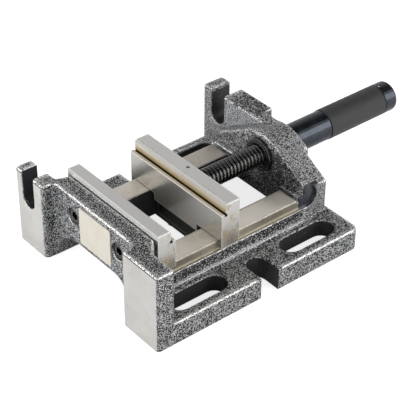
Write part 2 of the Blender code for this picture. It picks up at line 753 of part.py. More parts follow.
def keeper_plate(look):
    half = KEEPER_HALF_WIDTH
    corners = [(KEEPER_FRONT_X, -half), (KEEPER_REAR_X, -half), (KEEPER_REAR_X, half), (KEEPER_FRONT_X, half)]
    outline = rounded([(x, y, KEEPER_CORNER_RADIUS) for x, y in corners], steps=3)
    top = WAY_UNDERSIDE - SEAT_GAP
    plate = extrusion("keeper_plate", "Z", outline, KEEPER_BOTTOM, top, end_round=SMALL_CHAMFER, look=look)
    for side in (-1, 1):
        hole = KEEPER_SCREW_RADIUS + SEAT_GAP
        place = (keeper_middle_x(), side * KEEPER_SCREW_Y)
        ends = (KEEPER_BOTTOM - OVERSHOOT, top + OVERSHOOT)
        cut(plate, turned(f"keeper_hole_{side}", [(end, hole) for end in ends], 16, place, axis="Z"))
    return plate


def keeper_screw(name, side, look):
    under = KEEPER_BOTTOM - RUNNING_GAP
    bottom = under - KEEPER_SCREW_HEAD_HEIGHT
    head = KEEPER_SCREW_HEAD_RADIUS
    profile = [
        (KEEPER_SCREW_TOP, KEEPER_SCREW_RADIUS - SMALL_CHAMFER),
        (KEEPER_SCREW_TOP - SMALL_CHAMFER, KEEPER_SCREW_RADIUS),
        (under, KEEPER_SCREW_RADIUS),
        (under, head),
        (bottom + SMALL_CHAMFER, head),
        (bottom, head - 2 * SMALL_CHAMFER),
    ]
    place = (keeper_middle_x(), side * KEEPER_SCREW_Y)
    screw = turned(name, profile, 20, place, look=look, axis="Z")
    ends = (bottom - OVERSHOOT, bottom + KEEPER_SOCKET_DEPTH)
    cut(screw, turned(f"{name}_socket", [(end, KEEPER_SOCKET_RADIUS) for end in ends], 6, place, axis="Z"))
    return screw


def screw_pin_bottom():
    return SCREW_Z - SCREW_RADIUS - SCREW_PIN_REACH


def screw_pin(look):
    high = JAW_TOP - SCREW_PIN_SINK
    profile = [
        (screw_pin_bottom(), SCREW_PIN_RADIUS),
        (high - SMALL_CHAMFER / 2, SCREW_PIN_RADIUS),
        (high, SCREW_PIN_RADIUS - SMALL_CHAMFER / 2),
    ]
    return turned("screw_pin", profile, 16, (SCREW_PIN_X, 0), look=look, axis="Z")


def lead_screw(look):
    chamfer = 2 * SMALL_CHAMFER
    end = SCREW_START_X + SCREW_LENGTH
    profile = [
        (SCREW_START_X, SCREW_RADIUS - chamfer),
        (SCREW_START_X + chamfer, SCREW_RADIUS),
        (end - chamfer, SCREW_RADIUS),
        (end, SCREW_RADIUS - chamfer),
    ]
    screw = turned("lead_screw", profile, 32, look=look)
    reach = SCREW_RADIUS + OVERSHOOT
    eye = [(SCREW_Z - reach, SCREW_EYE_RADIUS), (SCREW_Z + reach, SCREW_EYE_RADIUS)]
    cut(screw, turned("screw_eye", eye, 16, (SCREW_PIN_X, 0), axis="Z"))
    return screw


def collar_start_x():
    return ARCH_FACE_X - SEAT_GAP - COLLAR_THICKNESS


def retaining_collar(look):
    start = collar_start_x()
    end = start + COLLAR_THICKNESS
    inner = SLEEVE_RADIUS + RUNNING_GAP
    profile = [
        (start, inner),
        (start, COLLAR_RADIUS - SMALL_CHAMFER),
        (start + SMALL_CHAMFER, COLLAR_RADIUS),
        (end, COLLAR_RADIUS),
        (end, inner),
    ]
    return turned("retaining_collar", profile, 36, hollow=True, look=look)


def thrust_washer(name, start, look):
    inner = SLEEVE_RADIUS + RUNNING_GAP
    end = start + WASHER_THICKNESS - SEAT_GAP
    profile = [(start, inner), (start, WASHER_RADIUS), (end, WASHER_RADIUS), (end, inner)]
    return turned(name, profile, 36, hollow=True, look=look)


def shoulder_x():
    return BOSS_FACE_X + SEAT_GAP + WASHER_THICKNESS


def sleeve_step_x():
    return shoulder_x() + SLEEVE_SEAT_DEPTH


def nut_sleeve(look):
    """The turning sleeve that carries the screw's thread. Its journal runs in the casting."""
    bore = SCREW_RADIUS + RUNNING_GAP
    start = collar_start_x()
    chamfer = SMALL_CHAMFER
    profile = [
        (start, bore + chamfer),
        (start, SLEEVE_RADIUS - chamfer / 2),
        (start + chamfer / 2, SLEEVE_RADIUS),
        (sleeve_step_x(), SLEEVE_RADIUS),
        (sleeve_step_x(), SLEEVE_SPIGOT_RADIUS),
        (SLEEVE_END_X, SLEEVE_SPIGOT_RADIUS),
        (SLEEVE_END_X, bore + chamfer),
        (SLEEVE_END_X - chamfer, bore),
        (start + chamfer, bore),
    ]
    return turned("nut_sleeve", profile, 36, hollow=True, look=look)


def handle_tube(look):
    """The hollow handle, which hides the screw's end. A narrower seat carries the grip and the end cap."""
    start = shoulder_x()
    counterbore = sleeve_step_x() + SEAT_GAP
    chamfer = SMALL_CHAMFER
    profile = [
        (start, SLEEVE_RADIUS + RUNNING_GAP),
        (start, NECK_RADIUS - chamfer),
        (start + chamfer, NECK_RADIUS),
        (GRIP_START_X - chamfer / 2, NECK_RADIUS),
        (GRIP_START_X, NECK_RADIUS - chamfer / 2),
        (GRIP_START_X, TUBE_SEAT_RADIUS),
        (TUBE_END_X, TUBE_SEAT_RADIUS),
        (TUBE_END_X, TUBE_BORE_RADIUS),
        (counterbore, TUBE_BORE_RADIUS),
        (counterbore, SLEEVE_RADIUS + RUNNING_GAP),
    ]
    tube = turned("handle_tube", profile, 36, hollow=True, look=look)
    cut(tube, cap_pin_hole("tube_pin_hole"))
    return tube


def cap_pin_hole(name):
    hole = CAP_PIN_RADIUS + SEAT_GAP
    reach = GRIP_RADIUS + OVERSHOOT
    return turned(name, [(SCREW_Z - reach, hole), (SCREW_Z + reach, hole)], 14, (CAP_PIN_X, 0), axis="Z")


def handle_grip(look):
    start = GRIP_START_X + SEAT_GAP
    inner = TUBE_SEAT_RADIUS + RUNNING_GAP
    chamfer = SMALL_CHAMFER / 2
    profile = [
        (start, inner),
        (start, GRIP_RADIUS - chamfer),
        (start + chamfer, GRIP_RADIUS),
        (GRIP_END_X - chamfer, GRIP_RADIUS),
        (GRIP_END_X, GRIP_RADIUS - chamfer),
        (GRIP_END_X, inner),
    ]
    return turned("handle_grip", profile, 36, hollow=True, look=look)


def handle_end_cap(look):
    """A cup over the tube's end, held by the cross pin."""
    start = GRIP_END_X + SEAT_GAP
    crown = [
        (HANDLE_END_X - CAP_END_ROUND + along, GRIP_RADIUS - CAP_END_ROUND + out)
        for out, along in arc((0, 0), CAP_END_ROUND, 0, HALF_TURN / 2, 5)
    ]
    inner = TUBE_SEAT_RADIUS + RUNNING_GAP
    chamfer = SMALL_CHAMFER / 2
    profile = [
        (TUBE_END_X + SEAT_GAP, inner),
        (start, inner),
        (start, GRIP_RADIUS - chamfer),
        (start + chamfer, GRIP_RADIUS),
    ] + crown
    cap = turned("handle_end_cap", profile, 36, look=look)
    cut(cap, cap_pin_hole("cap_hole"))
    return cap


def cap_pin(look):
    reach = GRIP_RADIUS - CAP_PIN_SINK
    radius = CAP_PIN_RADIUS
    chamfer = SMALL_CHAMFER / 2
    profile = [
        (SCREW_Z - reach, radius - chamfer),
        (SCREW_Z - reach + chamfer, radius),
        (SCREW_Z + reach - chamfer, radius),
        (SCREW_Z + reach, radius - chamfer),
    ]
    return turned("cap_pin", profile, 14, (CAP_PIN_X, 0), look=look, axis="Z")


def build():
    clear_scene()
    hammered_paint = material("hammered_grey_paint", (0.16, 0.165, 0.17), 0.3, 0.4)
    ground_steel = material("ground_steel", (0.62, 0.6, 0.56), 1.0, 0.35)
    black_steel = material("blackened_steel", (0.03, 0.03, 0.032), 0.8, 0.35)
    gloss_black = material("gloss_black", (0.012, 0.013, 0.015), 0.2, 0.12)
    matt_black = material("matt_black", (0.03, 0.03, 0.032), 0.0, 0.7)
    cream = material("cream_label", (0.83, 0.78, 0.67), 0.0, 0.5)
    bronze = material("bronze_washer", (0.42, 0.27, 0.12), 1.0, 0.4)

    base_casting(hammered_paint)
    fixed_jaw_plate(ground_steel)
    jaw_cap_screw("jaw_cap_screw_left", CAP_SCREW_Y, black_steel)
    jaw_cap_screw("jaw_cap_screw_right", -CAP_SCREW_Y, black_steel)
    label_plate(cream)

    sliding = [
        moving_jaw(ground_steel),
        keeper_plate(black_steel),
        keeper_screw("keeper_screw_left", 1, black_steel),
        keeper_screw("keeper_screw_right", -1, black_steel),
        screw_pin(ground_steel),
        lead_screw(black_steel),
    ]
    turning = [
        nut_sleeve(black_steel),
        retaining_collar(black_steel),
        handle_tube(gloss_black),
        handle_grip(matt_black),
        handle_end_cap(gloss_black),
        cap_pin(ground_steel),
    ]
    thrust_washer("thrust_washer_front", ARCH_FACE_X, bronze)
    thrust_washer("thrust_washer_rear", BOSS_FACE_X + SEAT_GAP, bronze)
    for piece in sliding + turning:
        move_origin(piece, moving_jaw_front_x(), 0, SCREW_Z)


build()
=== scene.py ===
import math

import bpy
from mathutils import Matrix, Vector


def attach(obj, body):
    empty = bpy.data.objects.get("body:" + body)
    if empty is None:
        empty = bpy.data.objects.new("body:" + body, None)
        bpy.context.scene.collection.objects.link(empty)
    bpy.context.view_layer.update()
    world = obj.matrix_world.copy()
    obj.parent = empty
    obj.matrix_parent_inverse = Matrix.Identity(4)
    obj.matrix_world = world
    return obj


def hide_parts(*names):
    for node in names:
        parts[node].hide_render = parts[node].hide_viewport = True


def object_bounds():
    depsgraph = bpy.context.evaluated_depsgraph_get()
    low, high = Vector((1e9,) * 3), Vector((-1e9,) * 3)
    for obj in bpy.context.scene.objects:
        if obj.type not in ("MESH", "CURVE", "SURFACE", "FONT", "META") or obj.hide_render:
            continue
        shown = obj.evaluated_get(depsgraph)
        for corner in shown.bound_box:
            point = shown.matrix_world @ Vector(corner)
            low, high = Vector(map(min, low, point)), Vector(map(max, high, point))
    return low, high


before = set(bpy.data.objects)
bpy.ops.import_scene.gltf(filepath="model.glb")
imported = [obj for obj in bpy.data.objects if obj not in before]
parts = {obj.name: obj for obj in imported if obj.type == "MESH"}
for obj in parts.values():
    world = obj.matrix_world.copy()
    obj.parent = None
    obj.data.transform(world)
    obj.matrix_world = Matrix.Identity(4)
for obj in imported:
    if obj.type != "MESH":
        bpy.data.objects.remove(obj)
cadLow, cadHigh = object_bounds()
scene = bpy.context.scene
mm = 0.001
frontPads = cadLow.x / mm  # the front pads' plane, in mm from the origin
screwHeight = 47.3
jawReach = 51  # just past the jaws' ends, in mm each way from the screw
jawsMeet = 115.4  # the x of a spot on one jaw's front and of its twin on the other add up to this
print("vise: frame loaded with", len(parts), "nodes")


def place(x, y, z):
    return Vector(((x + frontPads) * mm, y * mm, z * mm))  # x runs back from the front pads, in mm


def bothSides(low, high):
    # a box, and its mirror image on the other side of the screw
    return [(low, high), ((low[0], -high[1], low[2]), (high[0], -low[1], high[2]))]


def bothJaws(near, far, bottom, top):
    # a strip along the moving jaw's front, and its twin on the fixed jaw
    return [
        ((near, -jawReach, bottom), (far, jawReach, top)),
        ((jawsMeet - far, -jawReach, bottom), (jawsMeet - near, jawReach, top)),
    ]


def addNode(tree, kind, sockets=None, **settings):
    made = tree.nodes.new("ShaderNode" + kind)
    for key, value in settings.items():
        setattr(made, key, value)
    wire(tree, made, sockets or {})
    return made


def wire(tree, made, sockets):
    for key, value in sockets.items():
        if isinstance(value, bpy.types.NodeSocket):
            tree.links.new(value, made.inputs[key])
        else:
            made.inputs[key].default_value = value


def doMath(tree, operation, first, second=0.0, third=0.0, clamp=False):
    sockets = {0: first, 1: second, 2: third}
    return addNode(tree, "Math", sockets, operation=operation, use_clamp=clamp).outputs[0]


def add(tree, first, second):
    return doMath(tree, "ADD", first, second)


def multiply(tree, first, second):
    return doMath(tree, "MULTIPLY", first, second)


def largest(tree, *masks):
    total = masks[0]
    for mask in masks[1:]:
        total = doMath(tree, "MAXIMUM", total, mask)
    return total


def vectorMath(tree, operation, first, second):
    return addNode(tree, "VectorMath", {0: first, 1: second}, operation=operation).outputs[0]


def splitAxes(tree, vector):
    return addNode(tree, "SeparateXYZ", {0: vector}).outputs


def mixColour(tree, mask, first, second, mode="MIX"):
    sockets = {0: mask, 6: first, 7: second}
    return addNode(tree, "Mix", sockets, data_type="RGBA", blend_type=mode).outputs[2]


def tint(tree, colour, by):
    return mixColour(tree, 1.0, colour, by, "MULTIPLY")


def mixValue(tree, mask, first, second):
    return addNode(tree, "Mix", {0: mask, 2: first, 3: second}, data_type="FLOAT").outputs[0]


def spread(tree, value, low, high, toLow=0.0, toHigh=1.0, kind="LINEAR"):
    sockets = {0: value, 1: low, 2: high, 3: toLow, 4: toHigh}
    return addNode(tree, "MapRange", sockets, interpolation_type=kind).outputs[0]


def noise(tree, where, scale, detail, **more):
    sockets = {"Vector": where, "Scale": scale, "Detail": detail, **more}
    return addNode(tree, "TexNoise", sockets).outputs["Fac"]


def addBump(tree, height, strength, depth, **more):
    sockets = {"Strength": strength, "Distance": depth * mm, "Height": height, **more}
    return addNode(tree, "Bump", sockets).outputs[0]


def newGroup(name, inputs, outputs):
    group = bpy.data.node_groups.new(name, "ShaderNodeTree")
    for label, kind, value in inputs:
        socket = group.interface.new_socket(label, in_out="INPUT", socket_type="NodeSocket" + kind)
        socket.default_value = value
    for label, kind in outputs:
        group.interface.new_socket(label, in_out="OUTPUT", socket_type="NodeSocket" + kind)
    entry = group.nodes.new("NodeGroupInput").outputs
    leave = group.nodes.new("NodeGroupOutput").inputs
    return group, entry, leave


def useGroup(tree, group, **sockets):
    made = addNode(tree, "Group", node_tree=group)
    wire(tree, made, sockets)
    return made.outputs


def newMaterial(name, **jawHighlight):
    made = bpy.data.materials.new(name)
    made.use_nodes = True
    tree = made.node_tree
    tree.nodes.clear()
    shader = addNode(tree, "BsdfPrincipled")
    for key, value in jawHighlight.items():
        shader.inputs[key.replace("_", " ")].default_value = value
    addNode(tree, "OutputMaterial", {"Surface": shader.outputs[0]})
    return made, tree, shader


def objectPlace(tree):
    return addNode(tree, "TexCoord").outputs["Object"]


def dress(material, *names):
    for name in names:
        slots = parts[name].material_slots
        for slot in slots:
            slot.material = material
        if not slots:
            parts[name].data.materials.append(material)


def makeInsideBox():
    # 1 inside a box, 0 outside, turning over within Soft of its faces
    corner = (0, 0, 0)
    inputs = [("Place", "Vector", corner), ("Low", "Vector", corner), ("High", "Vector", corner)]
    inputs.append(("Soft", "Float", 0.0001))
    group, entry, leave = newGroup("insideBox", inputs, [("Mask", "Float")])
    below = vectorMath(group, "SUBTRACT", entry["Place"], entry["Low"])
    above = vectorMath(group, "SUBTRACT", entry["High"], entry["Place"])
    axes = splitAxes(group, vectorMath(group, "MINIMUM", below, above))
    depth = doMath(group, "MINIMUM", doMath(group, "MINIMUM", axes[0], axes[1]), axes[2])
    inside = doMath(group, "ADD", doMath(group, "DIVIDE", depth, entry["Soft"]), 0.5, clamp=True)
    group.links.new(inside, leave["Mask"])
    return group


speckle = {
    "fineRoughness": 0.45,
    "fineDistortion": 0.15,
    "driftScale": 0.17,  # of the fine scale
    "drift": 0.10,
    "coverWeight": 0.3,
    "flake": (0.61, 0.71),
    "height": (0.52, 0.78),
}


def makeSpeckle():
    # hammered paint: light flakes gathered round small dark dimples
    inputs = [("Place", "Vector", (0, 0, 0)), ("Scale", "Float", 1300.0), ("Cover", "Float", 0.5)]
    outputs = [("Flake", "Float"), ("Height", "Float")]
    group, entry, leave = newGroup("hammerSpeckle", inputs, outputs)
    look = {"Roughness": speckle["fineRoughness"], "Distortion": speckle["fineDistortion"]}
    fine = noise(group, entry["Place"], entry["Scale"], 1.0, **look)
    wide = noise(group, entry["Place"], multiply(group, entry["Scale"], speckle["driftScale"]), 2.0)
    drift = multiply(group, doMath(group, "SUBTRACT", wide, 0.5), speckle["drift"])
    cover = multiply(group, entry["Cover"], speckle["coverWeight"])
    summed = add(group, add(group, fine, drift), cover)
    group.links.new(spread(group, summed, *speckle["flake"], kind="SMOOTHSTEP"), leave["Flake"])
    group.links.new(spread(group, summed, *speckle["height"]), leave["Height"])
    return group


def makeEdge():
    # outer edges, found by looking back into the piece, and a normal rounded over them
    inputs = [("Radius", "Float", 0.0009), ("Width", "Float", 0.004)]
    outputs = [("Edge", "Float"), ("Normal", "Vector")]
    group, entry, leave = newGroup("edgeTurn", inputs, outputs)
    rounded = addNode(group, "Bevel", {"Radius": entry["Radius"]}, samples=6).outputs[0]
    look = {"samples": 8, "inside": True, "only_local": True}
    inner = addNode(group, "AmbientOcclusion", {"Distance": entry["Width"]}, **look).outputs["AO"]
    group.links.new(doMath(group, "SUBTRACT", 1.0, inner, clamp=True), leave["Edge"])
    group.links.new(rounded, leave["Normal"])
    return group


def makeGrind():
    # fine parallel marks left by a grinding wheel or a milling cutter, and a broad cloud
    inputs = [("Place", "Vector", (0, 0, 0)), ("Stretch", "Vector", (1200.0, 12.0, 1200.0))]
    group, entry, leave = newGroup("grindMarks", inputs, [("Mark", "Float"), ("Cloud", "Float")])
    pulled = vectorMath(group, "MULTIPLY", entry["Place"], entry["Stretch"])
    group.links.new(noise(group, pulled, 1.0, 3.0, Roughness=0.65), leave["Mark"])
    group.links.new(noise(group, entry["Place"], 45.0, 3.0), leave["Cloud"])
    return group


def makeRecess():
    # how far a spot lies inside a slot, pocket or inner corner of its own piece
    group, entry, leave = newGroup("recess", [("Reach", "Float", 0.02)], [("Mask", "Float")])
    look = {"samples": 8, "only_local": True}
    freeSky = addNode(group, "AmbientOcclusion", {"Distance": entry["Reach"]}, **look).outputs["AO"]
    group.links.new(doMath(group, "SUBTRACT", 1.0, freeSky, clamp=True), leave["Mask"])
    return group


insideBox = makeInsideBox()
hammerSpeckle = makeSpeckle()
edgeTurn = makeEdge()
grindMarks = makeGrind()
recess = makeRecess()
print("vise: shared shader groups ready")


def boxMask(tree, where, boxes, soft):
    # where any of the boxes holds the spot; their corners and the softness are in mm
    masks = []
    for low, high in boxes:
        box = {"Place": where, "Low": place(*low), "High": place(*high), "Soft": soft * mm}
        masks.append(useGroup(tree, insideBox, **box)["Mask"])
    return largest(tree, *masks)


studio = {
    "eye": (-0.55959, -0.63186, 0.62099),
    "target": (-0.03706, 0.00355, 0.02228),
    "roll": 0.33,
    "lens": 124.76,
    "shift": (0.0156, -0.0041),
    "clip": (0.05, 20),
    "sweepLight": 0.76,  # the world up to sweepTop, above which it falls to ceilingLight
    "ceilingLight": 0.06,
    "sweepTop": (0.60, 0.76),
    "floorSize": 3.0,
    "floorDrop": 0.0001,
    "floorColour": (0.8, 0.8, 0.8, 1),
    "floorSeen": 0.80,
    "floorMirrored": 0.50,
    "floorShade": 0.09,  # how far the vise darkens the floor that its metal mirrors
    "aim": (0, 0, 0.03),  # the spot that the softboxes face
    "softboxes": {
        "sideSoftbox": {"toward": (0.54, -0.72, 0.38), "away": 1.3, "size": (0.95, 0.80), "glow": 2.9},
        "frontSoftbox": {"toward": (-0.86, 0.26, 0.30), "away": 1.3, "size": (1.5, 0.60), "glow": 2.5},
    },
}


def makeCamera():
    eye = Vector(studio["eye"])
    ahead = (Vector(studio["target"]) - eye).normalized()
    level = ahead.cross(Vector((0, 0, 1))).normalized()
    upright = level.cross(ahead)
    roll = math.radians(studio["roll"])
    right = level * math.cos(roll) + upright * math.sin(roll)
    up = upright * math.cos(roll) - level * math.sin(roll)
    data = bpy.data.cameras.new("photoCamera")
    data.lens = studio["lens"]
    data.shift_x, data.shift_y = studio["shift"]
    data.clip_start, data.clip_end = studio["clip"]
    camera = bpy.data.objects.new("photoCamera", data)
    turn = Matrix((right, up, -ahead)).transposed().to_4x4()
    camera.matrix_world = Matrix.Translation(eye) @ turn
    scene.collection.objects.link(camera)
    scene.camera = camera


def makeSoftbox(name, toward, away, size, glow):
    data = bpy.data.lights.new(name, "AREA")
    data.shape = "RECTANGLE"
    data.size, data.size_y = size
    data.energy = glow * math.pi * size[0] * size[1]
    lamp = bpy.data.objects.new(name, data)
    direction = Vector(toward).normalized()
    lamp.location = direction * away + Vector(studio["aim"])
    lamp.rotation_mode = "QUATERNION"
    lamp.rotation_quaternion = direction.to_track_quat("Z", "Y")
    scene.collection.objects.link(lamp)


def makeWorld():
    # a light sweep round the vise, seen as plain white by the camera
    world = bpy.data.worlds.new("studioWorld")
    world.use_nodes = True
    tree = world.node_tree
    tree.nodes.clear()
    rays = addNode(tree, "LightPath").outputs
    upward = splitAxes(tree, addNode(tree, "TexCoord").outputs["Generated"])[2]
    strengths = (studio["sweepLight"], studio["ceilingLight"])
    level = spread(tree, upward, *studio["sweepTop"], *strengths, kind="SMOOTHSTEP")
    light = addNode(tree, "Background", {"Color": (1, 1, 1, 1), "Strength": level})
    white = addNode(tree, "Background", {"Color": (1, 1, 1, 1), "Strength": 1.0})
    sockets = {0: rays["Is Camera Ray"], 1: light.outputs[0], 2: white.outputs[0]}
    mixed = addNode(tree, "MixShader", sockets)
    addNode(tree, "OutputWorld", {"Surface": mixed.outputs[0]})
    scene.world = world


def makeFloor():
    size = studio["floorSize"]
    mesh = bpy.data.meshes.new("paleFloor")
    corners = [(-size, -size, 0), (size, -size, 0), (size, size, 0), (-size, size, 0)]
    mesh.from_pydata(corners, [], [(0, 1, 2, 3)])
    floor = bpy.data.objects.new("paleFloor", mesh)
    floor.location.z = -studio["floorDrop"]
    scene.collection.objects.link(floor)
    made, tree, shader = newMaterial("palePaper", Roughness=0.9, Specular_IOR_Level=0.1)
    shader.inputs["Base Color"].default_value = studio["floorColour"]
    rays = addNode(tree, "LightPath").outputs
    reach = {"Distance": studio["floorShade"]}
    shade = addNode(tree, "AmbientOcclusion", reach, samples=8).outputs["AO"]
    mirrored = multiply(tree, multiply(tree, rays["Is Glossy Ray"], shade), studio["floorMirrored"])
    seen = multiply(tree, rays["Is Camera Ray"], studio["floorSeen"])
    glow = add(tree, seen, mirrored)
    wire(tree, shader, {"Emission Color": (1, 1, 1, 1), "Emission Strength": glow})
    mesh.materials.append(made)


makeCamera()
makeWorld()
makeFloor()
for boxName, box in studio["softboxes"].items():
    makeSoftbox(boxName, **box)
scene.view_settings.view_transform = "Standard"
print("vise: camera and studio ready")

casting = {
    # paint: its ground and flakes; lighter, bluer copies of them on faces to the front, as painted
    # light; a painted highlight on upward edges; painted shade in hollows, slots and between the ways
    "paintDark": (0.014, 0.014, 0.015, 1),
    "paintLight": (0.62, 0.63, 0.63, 1),
    # painted light: faces to the front get a lighter, bluer copy of the paint
    "frontLitDark": (0.014, 0.0145, 0.016, 1),
    "frontLitFlake": (0.64, 0.65, 0.67, 1),
    # near-white flakes of the painted highlight on upward edges
    "rimHighlight": (0.96, 0.96, 0.93, 1),
    # the ground colour of the painted shade
    "paintShade": (0.040, 0.041, 0.044, 1),
    # bare metal
    "padColour": (0.70, 0.69, 0.67, 1),
    "wayColour": (0.96, 0.91, 0.82, 1),
    "sideColour": (0.42, 0.38, 0.31, 1),
    # the pocket's near-black colour is painted shade
    "pocketShade": (0.07, 0.075, 0.09, 1),
    # the colour of the painted shade on the left way
    "wayShadeColour": (0.40, 0.37, 0.32, 1),
    "markTints": ((0.97, 0.97, 0.97, 1), (1.02, 1.02, 1.02, 1)),
    "cloudTints": ((0.90, 0.89, 0.87, 1), (1.04, 1.03, 1.02, 1)),
    "millStretch": (14.0, 1100.0, 1100.0),
    # how much of the paint is flake
    "speckleScale": 1300.0,
    "speckleCover": 0.42,
    "rimCover": 0.36,
    # painted light: more flakes on slopes facing right and up, toward the side softbox
    "litSlopeCover": 0.13,
    "shadeLoss": 0.8,
    # painted light and shade by region: more flake lights the rear wall's panel; less darkens the tops
    # of the rear pad, block and front wall, and the band below the ways
    "lightAndShadePatches": [  # boxes, softness, more or less flake
        ([((166.4, 2, 24), (167.5, 53, 62))], 1.0, 0.12),  # panel of the rear wall
        ([((167.6, 19.6, 62.9), (187, 50, 64))], 0.2, -0.18),  # top of the rear pad
        ([((-1, -82, 60.6), (24, 46, 61.6))], 1.0, -0.09),  # top of the block and front wall
        (bothSides((20, 46, 20.4), (152, 49.6, 26.9)), 1.0, -0.26),  # below the ways
    ],
    # painted highlight on edges: how sharp they are, how far they look up, and how they fade at the
    # rear
    "edgeRadius": 0.0020,
    "edgeWidth": 0.0042,
    "rimSharp": (0.10, 0.18),
    "rimUpward": (0.20, 0.45),
    "rimRear": ([((141, -90, 36), (190, 90, 66))], 4.0),
    "rimRearShare": 0.55,
    "lipShare": 0.7,
    "lipSoft": 0.8,
    # lips that always get the painted highlight
    "brightLips": [
        *bothSides((21.0, 49.0, 17.4), (153, 51.2, 19.9)),
        ((8.6, -37.5, 59.3), (11.3, 45.5, 61.4)),
        ((-0.4, -82, 59.5), (1.8, -37, 61.4)),
    ],
    "plainEdges": [  # round the slots and the notch
        ((19, -75, 10), (72, -52, 19)),
        ((116, -75, 10), (169, -52, 19)),
        ((84, -82, 10), (106.5, -55, 19)),
    ],
    # painted shade: darker, plainer paint between the ways, in the slots and in hollows
    "shadePlaces": [
        ((23.8, -29.2, -2), (154.4, 29.2, 34.1)),
        *bothSides((21.8, 55.1, -1), (68.9, 72.3, 16.6)),
        *bothSides((119.3, 55.1, -1), (166.4, 72.3, 16.6)),
        *bothSides((87.4, 58.1, -1), (103.2, 80, 16.6)),
        ((0.8, 57.8, 33), (13, 71.8, 60.2)),
        ((167.8, 55.1, 36.4), (184.6, 69.9, 60.2)),
    ],
    "archShade": ([((150, -38, 4), (155.6, -2, 54))], 8.0),
    "archShadeShare": 0.55,
    "hollowReach": 0.022,
    "hollow": (0.55, 0.9),
    # machined places
    "sharp": 0.15,
    "pads": [((-1, -78.2, -1), (0.25, 78.2, 59.2))],
    "padLine": [((-1, -78.4, 58.7), (0.6, 78.4, 59.5))],
    "ways": bothSides((22, 20, 34.1), (148.6, 46.5, 34.6)),
    "sides": bothSides((23, 45, 26.8), (150, 48.6, 34.2)),
    "pocket": ([((150, -48.6, 26.8), (167, -45, 44.5))], 0.6),
    # painted shade on the left way behind the moving jaw
    "wayShade": ([((96, 20, 30), (160, 50, 40))], 9.0),
    # shine
    "flakeMetal": (0.30, 0.90),  # on plain paint, on rims
    "groundRough": 0.34,
    "flakeRough": 0.33,
    "wayMetal": 0.50,
    "padMetal": 0.30,
    "bareRough": (0.25, 0.30),
    "bareWave": 0.05,
    "bump": (0.28, 0.3),  # strength, depth in mm
}


def findRimHighlights(tree, where, edge, facing):
    # painted highlight along edges that look upward, and along the listed lips
    def region(boxes, soft=casting["lipSoft"]):
        return boxMask(tree, where, boxes, soft)

    sharp = spread(tree, edge, *casting["rimSharp"])
    highlight = multiply(tree, sharp, spread(tree, facing[2], *casting["rimUpward"]))
    for box in casting["plainEdges"]:
        highlight = doMath(tree, "SUBTRACT", highlight, region([box]), clamp=True)
    lips = multiply(tree, region(casting["brightLips"]), casting["lipShare"])
    fade = mixValue(tree, region(*casting["rimRear"]), 1.0, casting["rimRearShare"])
    return multiply(tree, largest(tree, highlight, lips), fade)


def findPaintedShade(tree, where):
    # painted shade: the listed places, the arch's face and hollows get darker, plainer paint
    arch = multiply(tree, boxMask(tree, where, *casting["archShade"]), casting["archShadeShare"])
    inside = useGroup(tree, recess, Reach=casting["hollowReach"])["Mask"]
    hollow = spread(tree, inside, *casting["hollow"])
    return largest(tree, boxMask(tree, where, casting["shadePlaces"], casting["sharp"]), arch, hollow)


def coverPaint(tree, where, facing, highlight, shaded):
    # the share of flakes: fewer where shade is painted, more on edges with the painted highlight and,
    # as painted light, on slopes facing the side softbox
    litSlope = spread(tree, facing[1], -0.25, -0.45)
    litSlope = multiply(tree, litSlope, spread(tree, facing[2], 0.30, 0.55))
    cover = add(tree, casting["speckleCover"], multiply(tree, highlight, casting["rimCover"]))
    cover = add(tree, cover, multiply(tree, litSlope, casting["litSlopeCover"]))
    # painted light and shade in the listed patches
    for boxes, soft, extra in casting["lightAndShadePatches"]:
        cover = doMath(tree, "MULTIPLY_ADD", boxMask(tree, where, boxes, soft), extra, cover)
    return doMath(tree, "SUBTRACT", cover, multiply(tree, shaded, casting["shadeLoss"]))


